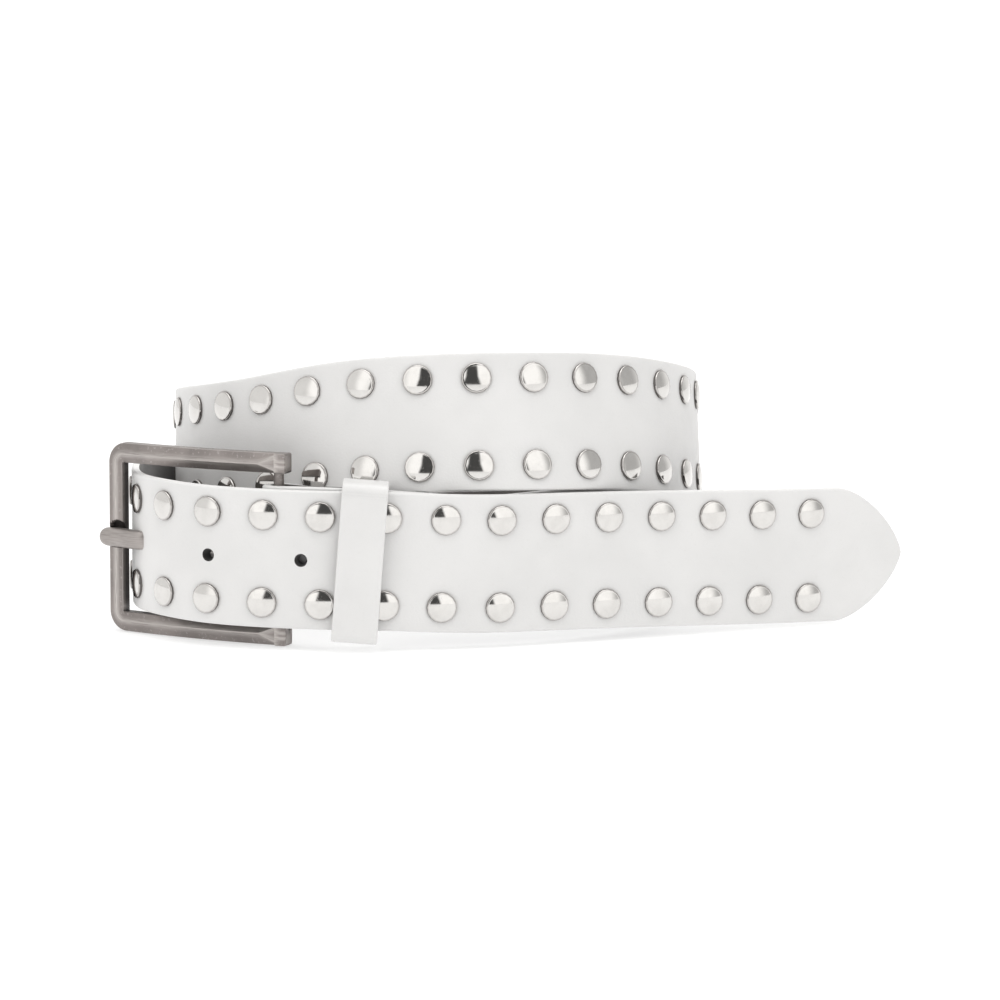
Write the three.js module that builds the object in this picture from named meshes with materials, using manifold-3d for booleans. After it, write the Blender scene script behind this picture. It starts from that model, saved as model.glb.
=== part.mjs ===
import * as THREE from 'three';
import { mergeVertices } from 'three/addons/utils/BufferGeometryUtils.js';
import Module from 'manifold-3d';

// Studded leather belt, fastened and coiled twice, standing on its lower edge.
// Millimetres, +Z up, +X towards the pointed tail, -Y towards the viewer of the front run.

const wasm = await Module();
wasm.setup();

// Strap
const strapWidth = 40;
const strapThickness = 3;
const ringSpacing = 10.5;
const tipLength = 23;
const tailLength = 115.4;

// Studs
const studDiameter = 8.8;
const studHeight = 1.2;
const studRim = 0.6;
const studSides = 10;
const rowInset = 7.35;
const studPitch = 16.75;
const firstStud = 32.4;
const secondPressing = 1.8;
const studsBeforeSecondPressing = 9;
const thirdPressing = 3.7;
const studsBeforeThirdPressing = 15;
const tailStuds = 14;
const frontStuds = 6;

// Holes
const holeDiameter = 3.8;
const holePitch = 27.6;
const firstHole = 190.4;
const holeCount = 5;

// Coil
const coilRadius = 78.5;
const seat = 0.3;
const layerSlack = 0.9;
const layer = strapThickness + studHeight + layerSlack;

// Buckle
const barDiameter = 3;
const frameHeight = 56;
const frameReach = 56;
const frameReachShare = 0.7134;
const frameDepth = 4.8;
const frameBow = 16;
const armHeight = 5.9;
const leftBarWidth = 5.2;
const blockLength = 3.4;
const blockEnd = 3;
const blockDepth = 5.4;
const frameTurn = 19;
const frameLift = 1.3;
const cornerRadius = 5.6;
const notchDepth = 2.6;
const prongDiameter = 5.6;
const foldLength = 25;
const foldSkive = 1.5;

// Keeper
const keeperWidth = 13.2;
const keeperThickness = 1.8;
const keeperHeight = 46;
const keeperPlace = 24.5;
const keeperDrop = 0.6;
const keeperTilt = 1.4;

// Stations of the strap, from the buckle bar along both turns to where the tail leaves the coil.
// turn: degrees round the coil, 0 is right and -90 the front; reach: share of the coil radius;
// out: layers of strap outwards; rise: lower edge as a share of the strap width;
// lean: degrees that the upper edge leans into the coil;
// follow: how far the left bend goes out or in with the buckle frame's reach, where that isn't
// frameReachShare of the coil radius.
const stations = [
  { turn: -120, reach: 1.166, out: 0, rise: 0.172, lean: 0 },
  { turn: -109, reach: 1.104, out: 0, rise: 0.166, lean: 0 },
  { turn: -98, reach: 1.044, out: 0, rise: 0.140, lean: 0 },
  { turn: -87, reach: 0.998, out: 0, rise: 0.106, lean: 0 },
  { turn: -76, reach: 0.978, out: 0, rise: 0.094, lean: 0 },
  { turn: -64, reach: 0.963, out: 0, rise: 0.110, lean: 0 },
  { turn: -45, reach: 0.945, out: 0, rise: 0.098, lean: 0 },
  { turn: -20, reach: 0.928, out: 0, rise: 0.060, lean: 0 },
  { turn: 15, reach: 0.926, out: 0, rise: 0.020, lean: 0 },
  { turn: 55, reach: 0.945, out: 0, rise: 0.003, lean: -3 },
  { turn: 90, reach: 0.965, out: 0, rise: 0.045, lean: -7 },
  { turn: 120, reach: 0.980, out: 0, rise: 0.190, lean: -7 },
  { turn: 150, reach: 0.998, out: 0, rise: 0.450, lean: -4 },
  { turn: 180, reach: 1.008, out: 0, rise: 0.670, lean: 0 },
  { turn: 205, reach: 0.978, out: 0, rise: 0.790, lean: 3 },
  { turn: 228, reach: 0.955, out: 0, rise: 0.915, lean: 7 },
  { turn: 250, reach: 0.950, out: 0, rise: 1.055, lean: 10 },
  { turn: 270, reach: 0.988, out: 0, rise: 1.120, lean: 11 },
  { turn: 290, reach: 1.014, out: 0, rise: 1.128, lean: 11 },
  { turn: 312, reach: 1.008, out: 0, rise: 1.078, lean: 10 },
  { turn: 335, reach: 1.000, out: 0, rise: 0.955, lean: 6 },
  { turn: 360, reach: 0.955, out: 0.75, rise: 0.790, lean: 2 },
  { turn: 390, reach: 0.945, out: 1, rise: 0.570, lean: 0 },
  { turn: 430, reach: 0.965, out: 1, rise: 0.400, lean: 0 },
  { turn: 470, reach: 0.995, out: 1, rise: 0.275, lean: 0 },
  { turn: 510, reach: 1.020, out: 1, rise: 0.200, lean: 0 },
  { turn: 540, reach: 1.050, out: 1, rise: 0.182, lean: 0, follow: 0.3 },
  { turn: 563, reach: 1.172, out: 1, rise: 0.200, lean: 0, follow: 0.9 },
  { turn: 572, reach: 1.234, out: 1, rise: 0.190, lean: 0, follow: 1.15 },
  { turn: 581, reach: 1.250, out: 1, rise: 0.185, lean: 0, follow: 1.25 },
  { turn: 591, reach: 1.230, out: 1, rise: 0.175, lean: 0, follow: 1.15 },
  { turn: 600, reach: 1.166, out: 1, rise: 0.164, lean: 0, follow: 0.8 },
  { turn: 610, reach: 1.108, out: 1, rise: 0.158, lean: 0, follow: 0.3 },
  { turn: 622, reach: 1.044, out: 1, rise: 0.147, lean: 0 },
  { turn: 633, reach: 0.998, out: 1, rise: 0.124, lean: 0 },
  { turn: 644, reach: 0.978, out: 1, rise: 0.112, lean: 0 },
  { turn: 655, reach: 0.968, out: 1, rise: 0.104, lean: 0 },
];

// Stations of the free tail: share of the tail length, the heading there in degrees, and the
// lower edge as a share of the strap width.
const tailStations = [
  { along: 0.25, heading: 23, rise: 0.085 },
  { along: 0.60, heading: 25, rise: 0.045 },
  { along: 1.00, heading: 27, rise: 0.010 },
];

// Outline of the pointed tip: distance from the point and half width, as shares.
const tipOutline = [
  { back: 1.00, half: 1.00 },
  { back: 0.62, half: 0.87 },
  { back: 0.32, half: 0.60 },
  { back: 0.10, half: 0.30 },
  { back: 0.00, half: 0.10 },
];

const rad = THREE.MathUtils.degToRad;

// Natural cubic through the values at the knots, as a function of the knot parameter.
function smoothThrough(knots, values) {
  const n = knots.length;
  const bend = new Array(n).fill(0);
  const upper = new Array(n).fill(0);
  for (let i = 1; i < n - 1; i++) {
    const before = knots[i] - knots[i - 1];
    const after = knots[i + 1] - knots[i];
    const slopeChange = (values[i + 1] - values[i]) / after - (values[i] - values[i - 1]) / before;
    const pivot = 2 * (before + after) - before * upper[i - 1];
    upper[i] = after / pivot;
    bend[i] = (6 * slopeChange - before * bend[i - 1]) / pivot;
  }
  for (let i = n - 2; i > 0; i--) bend[i] -= upper[i] * bend[i + 1];
  return (p) => {
    let i = 0;
    while (i < n - 2 && p > knots[i + 1]) i++;
    const span = knots[i + 1] - knots[i];
    const a = (knots[i + 1] - p) / span;
    const b = (p - knots[i]) / span;
    const curve = (a * a * a - a) * bend[i] + (b * b * b - b) * bend[i + 1];
    return a * values[i] + b * values[i + 1] + curve * span * span / 6;
  };
}

// The lower edge of the strap, at the middle of its thickness, from the bar to the tip.
function lowerEdge() {
  const frameExcess = frameReach - frameReachShare * coilRadius;
  const points = stations.map(({ turn, reach, out, rise, follow = 0 }) => {
    const radius = reach * coilRadius + out * layer + follow * frameExcess;
    return [radius * Math.cos(rad(turn)), radius * Math.sin(rad(turn)), rise * strapWidth];
  });
  const leans = stations.map((station) => station.lean);
  let last = 0;
  for (const { along, heading, rise } of tailStations) {
    const [x, y] = points[points.length - 1];
    const step = (along - last) * tailLength;
    points.push([x + step * Math.cos(rad(heading)), y + step * Math.sin(rad(heading)), rise * strapWidth]);
    leans.push(0);
    last = along;
  }
  const knots = [0];
  for (let i = 1; i < points.length; i++) {
    const step = Math.hypot(points[i][0] - points[i - 1][0], points[i][1] - points[i - 1][1]);
    knots.push(knots[i - 1] + step);
  }
  const x = smoothThrough(knots, points.map((point) => point[0]));
  const y = smoothThrough(knots, points.map((point) => point[1]));
  const z = smoothThrough(knots, points.map((point) => point[2]));
  const lean = smoothThrough(knots, leans);
  const end = knots[knots.length - 1];
  return { knots, end, at: (p) => new THREE.Vector3(x(p), y(p), z(p)), lean };
}

const edge = lowerEdge();

// Place and directions of the strap at a parameter: along it, up its width and out of its face.
function frameAt(p) {
  const step = 0.05;
  const q = Math.min(Math.max(p, step), edge.end - step);
  const along = edge.at(q + step).sub(edge.at(q - step)).normalize();
  const level = new THREE.Vector3(along.y, -along.x, 0).normalize();
  const upright = level.clone().cross(along);
  const lean = rad(edge.lean(p));
  const up = upright.clone().multiplyScalar(Math.cos(lean)).addScaledVector(level, -Math.sin(lean));
  const out = level.multiplyScalar(Math.cos(lean)).addScaledVector(upright, Math.sin(lean));
  return { origin: edge.at(p), along, up, out };
}

// Lengths along the middle of the strap, so that studs and holes keep their pitch.
const lengthTable = [{ p: 0, s: 0 }];
{
  const middle = (p) => {
    const { origin, up } = frameAt(p);
    return origin.addScaledVector(up, strapWidth / 2);
  };
  let last = middle(0);
  const steps = Math.ceil(edge.end);
  for (let i = 1; i <= steps; i++) {
    const p = edge.end * i / steps;
    const next = middle(p);
    lengthTable.push({ p, s: lengthTable[i - 1].s + next.distanceTo(last) });
    last = next;
  }
}
const strapLength = lengthTable[lengthTable.length - 1].s;

// The strap's frame at a length from the bar.
function strapAt(s) {
  let i = 1;
  while (i < lengthTable.length - 1 && lengthTable[i].s < s) i++;
  const a = lengthTable[i - 1];
  const b = lengthTable[i];
  return frameAt(a.p + (b.p - a.p) * (s - a.s) / (b.s - a.s));
}

// A point on the strap: height over its lower edge and distance out of its middle.
function strapPoint({ origin, up, out }, height, outwards) {
  return origin.clone().addScaledVector(up, height).addScaledVector(out, outwards);
}

// Closed body through rings of points with equally many points each.
function loft(rings) {
  const count = rings[0].length;
  const positions = rings.flat().flatMap((point) => [point.x, point.y, point.z]);
  const faces = [];
  for (let r = 0; r < rings.length - 1; r++) {
    for (let i = 0; i < count; i++) {
      const a = r * count + i;
      const b = r * count + (i + 1) % count;
      faces.push(a, b, b + count, a, b + count, a + count);
    }
  }
  const end = (rings.length - 1) * count;
  for (let i = 1; i < count - 1; i++) {
    faces.push(0, i + 1, i);
    faces.push(end, end + i, end + i + 1);
  }
  const geometry = new THREE.BufferGeometry();
  geometry.setAttribute('position', new THREE.Float32BufferAttribute(positions, 3));
  geometry.setIndex(faces);
  return geometry;
}

function toSolid(geometry) {
  const bare = geometry.clone();
  bare.deleteAttribute('normal');
  bare.deleteAttribute('uv');
  const merged = mergeVertices(bare, 1e-4);
  const mesh = new wasm.Mesh({
    numProp: 3,
    vertProperties: new Float32Array(merged.attributes.position.array),
    triVerts: new Uint32Array(merged.index.array),
  });
  return new wasm.Manifold(mesh);
}

function toGeometry(solid) {
  const mesh = solid.getMesh();
  const geometry = new THREE.BufferGeometry();
  geometry.setAttribute('position', new THREE.BufferAttribute(new Float32Array(mesh.vertProperties), 3));
  geometry.setIndex(new THREE.BufferAttribute(new Uint32Array(mesh.triVerts), 1));
  geometry.computeVertexNormals();
  return geometry;
}

const group = new THREE.Group();

function addPiece(name, geometry, colour, roughness, metalness) {
  const material = new THREE.MeshStandardMaterial({ color: colour, roughness, metalness });
  const mesh = new THREE.Mesh(geometry, material);
  mesh.name = name;
  group.add(mesh);
}

// Strap section: a rectangle across the strap's direction of travel.
function strapRing(frame, half = strapWidth / 2, thickness = strapThickness) {
  const low = strapWidth / 2 - half;
  const high = strapWidth / 2 + half;
  const face = thickness / 2;
  const corners = [[low, face], [low, -face], [high, -face], [high, face]];
  return corners.map(([height, outwards]) => strapPoint(frame, height, outwards));
}

// The fold: the strap's end goes back behind the first layer and round the bar.
const barGap = barDiameter / 2 + seat;
const foldRadius = barGap + strapThickness / 2;
const barFrame = strapAt(0);

// A point on the bar's axis, level with a height over the strap's lower edge.
function barAxis(height) {
  return strapPoint(barFrame, height, -foldRadius);
}
const prongAxis = barAxis(strapWidth / 2 + frameLift);

function foldRings() {
  const rings = [];
  const legSteps = 5;
  for (let i = legSteps; i > 0; i--) {
    const share = Math.min(1, i / (legSteps - 3));
    const eased = share * share * (3 - 2 * share);
    const thickness = THREE.MathUtils.lerp(strapThickness, foldSkive, eased);
    const closed = strapThickness / 2 + seat + thickness / 2;
    const apart = THREE.MathUtils.lerp(2 * foldRadius, closed, eased);
    const frame = strapAt(foldLength * i / legSteps);
    const origin = frame.origin.clone().addScaledVector(frame.out, -apart);
    const turned = { origin, up: frame.up, out: frame.out.clone().negate() };
    rings.push(strapRing(turned, strapWidth / 2, thickness));
  }
  const bendSteps = 6;
  for (let i = 0; i < bendSteps; i++) {
    const angle = Math.PI * (1 - i / bendSteps);
    const out = barFrame.out.clone().multiplyScalar(Math.cos(angle));
    out.addScaledVector(barFrame.along, -Math.sin(angle));
    const origin = barAxis(0).addScaledVector(out, foldRadius);
    rings.push(strapRing({ origin, up: barFrame.up, out }));
  }
  return rings;
}

function strapBody() {
  const rings = foldRings();
  const straight = strapLength - tipLength;
  const steps = Math.ceil(straight / ringSpacing);
  for (let i = 0; i < steps; i++) rings.push(strapRing(strapAt(straight * i / steps)));
  for (const { back, half } of tipOutline) {
    rings.push(strapRing(strapAt(strapLength - back * tipLength), half * strapWidth / 2));
  }
  return toSolid(loft(rings));
}

// Matrix that stands a shape's +Z out of the strap's face at a length and height.
function onStrap(s, height, outwards) {
  const frame = strapAt(s);
  const matrix = new THREE.Matrix4().makeBasis(frame.along, frame.up, frame.out);
  return matrix.setPosition(strapPoint(frame, height, outwards));
}

// Domed stud: a short rim and a low dome, from its back face up.
function studShape(depth, domeRings) {
  const radius = studDiameter / 2;
  const profile = [new THREE.Vector2(0, -depth), new THREE.Vector2(radius, -depth)];
  profile.push(new THREE.Vector2(radius, studRim));
  for (let i = 1; i <= domeRings; i++) {
    const share = i / (domeRings + 1);
    const rise = 1 - (1 - share) * (1 - share);
    profile.push(new THREE.Vector2(radius * (1 - share), studRim + (studHeight - studRim) * rise));
  }
  profile.push(new THREE.Vector2(0, studHeight));
  return new THREE.LatheGeometry(profile, studSides).rotateX(Math.PI / 2);
}

// Lengths from the bar of the studs, counted from the tip.
const studPlaces = [];
for (let i = 0; ; i++) {
  const second = i >= studsBeforeSecondPressing ? secondPressing : 0;
  const third = i >= studsBeforeThirdPressing ? thirdPressing : 0;
  const s = strapLength - firstStud - i * studPitch - second - third;
  if (s < foldRadius + studDiameter) break;
  studPlaces.push(s);
}

const rows = [
  { row: 'top', height: strapWidth - rowInset },
  { row: 'bottom', height: rowInset },
];

// Studs of the raised front run that face the viewer are found by the coil's front, 270 degrees round.
const raisedFront = stations.findIndex((station) => station.turn === 270);

const frontEntry = lengthTable.find((entry) => entry.p >= edge.knots[raisedFront]);
const raised = studPlaces.map((s, i) => ({ s, i })).filter(({ i }) => i >= tailStuds);
raised.sort((a, b) => Math.abs(a.s - frontEntry.s) - Math.abs(b.s - frontEntry.s));
const ownStuds = new Set(raised.slice(0, frontStuds).map(({ i }) => i));
for (let i = 0; i < tailStuds; i++) ownStuds.add(i);

const leather = '#eeebe9';
const nickel = '#c9c7c4';
const dullNickel = '#8f8882';

// Buckle frame. Its own directions: a along the frame from the bar to the prong's tip,
// u up the bar, o out of its face; it is bowed, so its face falls back with the square of a.
// Its matrix has a to the left, so a point's first coordinate is -a.
const bowSlope = Math.tan(rad(frameBow));
const bowDepth = bowSlope * frameReach / 2;
const turnAtBar = frameTurn - frameBow / 2;
const buckleMatrix = new THREE.Matrix4();
{
  const level = new THREE.Vector3().crossVectors(barFrame.up, barFrame.out).normalize();
  const heading = rad(turnAtBar);
  const right = level.clone().multiplyScalar(Math.cos(heading)).addScaledVector(barFrame.out, Math.sin(heading));
  const o = barFrame.out.clone().multiplyScalar(Math.cos(heading)).addScaledVector(level, -Math.sin(heading));
  buckleMatrix.makeBasis(right, barFrame.up, o).setPosition(prongAxis);
}

function bowed(a, u, o) {
  const share = Math.max(a, 0) / frameReach;
  return new THREE.Vector3(-a, u, o - bowDepth * share * share).applyMatrix4(buckleMatrix);
}

const window = frameHeight - 2 * armHeight;
const blockSocket = 2.5;
const armStart = blockLength - blockEnd + 0.4;
const notchFloor = frameDepth / 2 - bowDepth - notchDepth;
const prongRest = notchFloor + seat + prongDiameter / 2;

// The prong's straight shank from the bar through the strap's hole, and its tip over the notch,
// thicker all round by the clearance asked for.
function prongShank(clearance) {
  const radius = prongDiameter / 2;
  const shank = [
    { a: barGap + radius * 0.5, o: 0, thick: 0.86 },
    { a: frameReach * 0.3, o: prongRest * 0.3, thick: 0.94 },
    { a: frameReach * 0.65, o: prongRest * 0.62, thick: 1 },
    { a: frameReach * 0.9, o: prongRest * 0.9, thick: 1 },
    { a: frameReach, o: prongRest, thick: 1 },
    { a: frameReach + radius, o: prongRest - radius * 0.22, thick: 0.96 },
    { a: frameReach + radius * 1.5, o: prongRest - radius * 0.55, thick: 0.74 },
    { a: frameReach + radius * 1.75, o: prongRest - radius * 0.8, thick: 0.36 },
  ];
  const sides = 10;
  return loft(shank.map(({ a, o, thick }, i) => {
    const before = shank[Math.max(i - 1, 0)];
    const after = shank[Math.min(i + 1, shank.length - 1)];
    const slope = Math.atan2(after.o - before.o, after.a - before.a);
    const reach = thick * radius + clearance;
    return Array.from({ length: sides }, (_, k) => {
      const angle = 2 * Math.PI * k / sides;
      const across = reach * Math.cos(angle);
      const point = new THREE.Vector3(across * Math.sin(slope) - a, reach * Math.sin(angle),
        o + across * Math.cos(slope));
      return point.applyMatrix4(buckleMatrix);
    });
  }));
}

// Strap with its fused studs, holes and prong slot
{
  let strap = strapBody();
  const sunk = strapThickness / 3;
  const fused = studShape(sunk, 0);
  studPlaces.forEach((s, i) => {
    if (ownStuds.has(i)) return;
    for (const { height } of rows) {
      strap = strap.add(toSolid(fused.clone().applyMatrix4(onStrap(s, height, strapThickness / 2))));
    }
  });
  const punch = new THREE.CylinderGeometry(holeDiameter / 2, holeDiameter / 2, strapThickness * 2, 12);
  punch.rotateX(Math.PI / 2);
  for (let i = 0; i < holeCount; i++) {
    const s = strapLength - firstHole - i * holePitch;
    strap = strap.subtract(toSolid(punch.clone().applyMatrix4(onStrap(s, strapWidth / 2, 0))));
  }
  strap = strap.subtract(toSolid(prongShank(seat)));
  const slotWidth = prongDiameter + 4 * seat;
  const slot = new THREE.BoxGeometry(4 * foldRadius, slotWidth, 2 * foldRadius + strapThickness + 2 * seat);
  const slotMatrix = new THREE.Matrix4().makeBasis(barFrame.along, barFrame.up, barFrame.out);
  slotMatrix.setPosition(prongAxis);
  strap = strap.subtract(toSolid(slot.applyMatrix4(slotMatrix)));
  addPiece('strap', toGeometry(strap), leather, 0.55, 0);
}

// Studs of their own on the front run and on the raised run
const studBody = studShape(0, 1);
[...ownStuds].sort((a, b) => a - b).forEach((place, order) => {
  for (const { row, height } of rows) {
    const matrix = onStrap(studPlaces[place], height, strapThickness / 2 + seat);
    const label = String(order + 1).padStart(2, '0');
    addPiece(`stud_${row}_${label}`, toGeometry(toSolid(studBody.clone().applyMatrix4(matrix))), nickel, 0.15, 1);
  }
});

// Middle line of the frame's upper half, from the end block to the middle of the left bar.
function frameStations() {
  const armLine = (frameHeight - armHeight) / 2;
  const bend = cornerRadius - leftBarWidth / 2;
  const rows = [
    { a: -blockEnd, u: armLine, angle: 90, width: armHeight, depth: blockDepth },
    { a: blockLength - blockEnd, u: armLine, angle: 90, width: armHeight, depth: blockDepth },
    { a: armStart, u: armLine, angle: 90, width: armHeight, depth: frameDepth },
  ];
  const armSteps = 4;
  const armEnd = frameReach - bend;
  for (let i = 1; i <= armSteps; i++) {
    const share = i / armSteps;
    rows.push({
      a: armStart + (armEnd - armStart) * share, u: armLine, angle: 90,
      width: armHeight, depth: frameDepth,
    });
  }
  const bendSteps = 4;
  for (let i = 1; i <= bendSteps; i++) {
    const share = i / bendSteps;
    const angle = 90 * (1 - share);
    rows.push({
      a: armEnd + bend * Math.cos(rad(angle)), u: armLine - bend + bend * Math.sin(rad(angle)), angle,
      width: THREE.MathUtils.lerp(armHeight, leftBarWidth, share), depth: frameDepth,
    });
  }
  return rows;
}

function frameRing({ a, u, angle, width, depth }) {
  const half = width / 2;
  const back = -depth / 2;
  const front = depth / 2;
  const crown = depth / 4;
  const corners = [
    [-half, back + crown / 2], [-half, front - crown], [-half / 3, front], [half / 3, front],
    [half, front - crown], [half, back + crown / 2], [half - crown / 2, back], [crown / 2 - half, back],
  ];
  return corners.map(([across, o]) => {
    return bowed(a + across * Math.cos(rad(angle)), u + across * Math.sin(rad(angle)), o);
  });
}

// Cut that leaves a sloping triangular facet on an arm, deepest at the end block.
function armFacet(side) {
  const length = 5.2;
  const armLine = side * (frameHeight - armHeight) / 2;
  const crown = frameDepth / 4;
  const box = new THREE.BoxGeometry(length, armHeight * 1.5, crown * 2);
  const slope = Math.atan2(crown * 1.2, length);
  box.translate(-length / 2, 0, crown).rotateY(slope);
  box.translate(-armStart, armLine, frameDepth / 2 - crown * 1.2);
  return toSolid(box.applyMatrix4(buckleMatrix));
}

{
  const upper = frameStations();
  const lower = upper.map((row) => ({ ...row, u: -row.u, angle: -row.angle })).reverse();
  let frame = toSolid(loft([...upper, ...lower].map(frameRing)));
  frame = frame.subtract(armFacet(1)).subtract(armFacet(-1));
  const socketLength = window + 2 * blockSocket;
  const socket = new THREE.CylinderGeometry(barGap, barGap, socketLength, 12);
  frame = frame.subtract(toSolid(socket.applyMatrix4(buckleMatrix)));
  const notchRadius = prongDiameter / 2 + seat;
  const notch = new THREE.CylinderGeometry(notchRadius, notchRadius, 3 * leftBarWidth, 16);
  notch.rotateZ(Math.PI / 2).rotateY(Math.atan(prongRest / frameReach));
  notch.translate(-frameReach, 0, prongRest);
  frame = frame.subtract(toSolid(notch.applyMatrix4(buckleMatrix)));
  addPiece('buckle_frame', toGeometry(frame), dullNickel, 0.35, 1);
}

// Buckle bar, seated in a socket of each end block
{
  const length = window + 2 * (blockSocket - seat);
  const bar = new THREE.CylinderGeometry(barDiameter / 2, barDiameter / 2, length, 12);
  addPiece('buckle_bar', toGeometry(toSolid(bar.applyMatrix4(buckleMatrix))), dullNickel, 0.35, 1);
}

// Prong: an eye round the bar, its shank, and the finished piece
{
  const eyeRadius = barGap + prongDiameter * 0.4;
  const eye = new THREE.CylinderGeometry(eyeRadius, eyeRadius, prongDiameter, 12);
  const eyeHole = new THREE.CylinderGeometry(barGap, barGap, 2 * prongDiameter, 12);
  let prong = toSolid(prongShank(0)).add(toSolid(eye.applyMatrix4(buckleMatrix)));
  prong = prong.subtract(toSolid(eyeHole.applyMatrix4(buckleMatrix)));
  addPiece('prong', toGeometry(prong), dullNickel, 0.35, 1);
}

// Keeper: a closed leather loop round both layers of the strap and the end of the fold
{
  const frame = strapAt(keeperPlace);
  const inFront = layer + strapThickness / 2 + studHeight + 2 * seat;
  const behind = strapThickness / 2 + foldSkive + 3 * seat;
  const halfHeight = keeperHeight / 2;
  const outline = (grow, radius) => {
    const top = halfHeight - keeperThickness + grow;
    const front = inFront + grow;
    const back = -behind - grow;
    const path = new THREE.Path();
    path.moveTo(front - radius, -top);
    path.absarc(front - radius, radius - top, radius, -Math.PI / 2, 0);
    path.absarc(front - radius, top - radius, radius, 0, Math.PI / 2);
    path.absarc(back + radius, top - radius, radius, Math.PI / 2, Math.PI);
    path.absarc(back + radius, radius - top, radius, Math.PI, 1.5 * Math.PI);
    return path.getPoints(2);
  };
  const shape = new THREE.Shape(outline(keeperThickness, 2 * keeperThickness / 3));
  shape.holes.push(new THREE.Path(outline(0, seat)));
  const loop = new THREE.ExtrudeGeometry(shape, { depth: keeperWidth, bevelEnabled: false, curveSegments: 3 });
  loop.translate(0, 0, -keeperWidth / 2).rotateX(rad(keeperTilt));
  const matrix = new THREE.Matrix4().makeBasis(frame.out, frame.up, frame.along.clone().negate());
  matrix.setPosition(strapPoint(frame, strapWidth / 2 - keeperDrop, 0));
  loop.applyMatrix4(matrix);
  addPiece('keeper', toGeometry(toSolid(loop)), leather, 0.6, 0);
}

// The origin is the middle of the belt's footprint, on the surface it stands on.
const box = new THREE.Box3().setFromObject(group);
const centre = box.getCenter(new THREE.Vector3());
group.position.set(-centre.x, -centre.y, -box.min.z);

export default group;
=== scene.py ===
import bpy
import numpy as np
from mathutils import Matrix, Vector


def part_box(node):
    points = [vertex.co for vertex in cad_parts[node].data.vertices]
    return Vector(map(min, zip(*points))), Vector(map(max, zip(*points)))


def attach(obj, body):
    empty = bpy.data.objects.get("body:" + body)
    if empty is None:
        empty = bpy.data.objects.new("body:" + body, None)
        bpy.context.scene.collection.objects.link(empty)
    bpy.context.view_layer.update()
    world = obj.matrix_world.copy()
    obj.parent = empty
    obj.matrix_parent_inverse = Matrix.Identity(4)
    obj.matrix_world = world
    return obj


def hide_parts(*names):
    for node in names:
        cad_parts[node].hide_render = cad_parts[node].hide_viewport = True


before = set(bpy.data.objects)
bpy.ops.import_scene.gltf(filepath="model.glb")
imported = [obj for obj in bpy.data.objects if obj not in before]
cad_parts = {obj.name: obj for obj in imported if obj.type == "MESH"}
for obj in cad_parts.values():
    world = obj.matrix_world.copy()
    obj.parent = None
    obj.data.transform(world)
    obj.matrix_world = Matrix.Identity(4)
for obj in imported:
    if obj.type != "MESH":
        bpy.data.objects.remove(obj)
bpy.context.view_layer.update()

# ---- Course of the strap ----
# One strip of leather, 1.2 m long, starts at the buckle bar, goes round the coil twice and climbs
# over itself at the front. Its tail passes back through the buckle and the keeper.
coil_centre = np.array([-0.0198489, 0.0038323, -0.0000419])
coil_radius = 0.0785
layer = 0.0051
strap_width = 0.040
strap_thickness = 0.003
tail_length = 0.1154
stations = np.array([
    # turn round the coil (degrees), reach (share of the coil radius), layers outwards,
    # rise of the lower edge (share of the width), lean of the upper edge (degrees)
    (-120, 1.166, 0, 0.172, 0), (-109, 1.104, 0, 0.166, 0), (-98, 1.044, 0, 0.140, 0),
    (-87, 0.998, 0, 0.106, 0), (-76, 0.978, 0, 0.094, 0), (-64, 0.963, 0, 0.110, 0),
    (-45, 0.945, 0, 0.098, 0), (-20, 0.928, 0, 0.060, 0), (15, 0.926, 0, 0.020, 0),
    (55, 0.945, 0, 0.003, -3), (90, 0.965, 0, 0.045, -7), (120, 0.980, 0, 0.190, -7),
    (150, 0.998, 0, 0.450, -4), (180, 1.008, 0, 0.670, 0), (205, 0.978, 0, 0.790, 3),
    (228, 0.955, 0, 0.915, 7), (250, 0.950, 0, 1.055, 10), (270, 0.988, 0, 1.120, 11),
    (290, 1.014, 0, 1.128, 11), (312, 1.008, 0, 1.078, 10), (335, 1.000, 0, 0.955, 6),
    (360, 0.955, 0.75, 0.790, 2), (390, 0.945, 1, 0.570, 0), (430, 0.965, 1, 0.400, 0),
    (470, 0.995, 1, 0.275, 0), (510, 1.020, 1, 0.200, 0), (540, 1.050, 1, 0.182, 0),
    (563, 1.172, 1, 0.200, 0), (572, 1.234, 1, 0.190, 0), (581, 1.250, 1, 0.185, 0),
    (591, 1.230, 1, 0.175, 0), (600, 1.166, 1, 0.164, 0), (610, 1.108, 1, 0.158, 0),
    (622, 1.044, 1, 0.147, 0), (633, 0.998, 1, 0.124, 0), (644, 0.978, 1, 0.112, 0),
    (655, 0.968, 1, 0.104, 0),
])
tail_stations = np.array([
    # share of the tail, heading (degrees), rise of the lower edge (share of the width)
    (0.25, 23, 0.085), (0.60, 25, 0.045), (1.00, 27, 0.010),
])


def unit(vectors):
    """Each row divided by its length."""
    return vectors / np.linalg.norm(vectors, axis=-1, keepdims=True)


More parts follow.
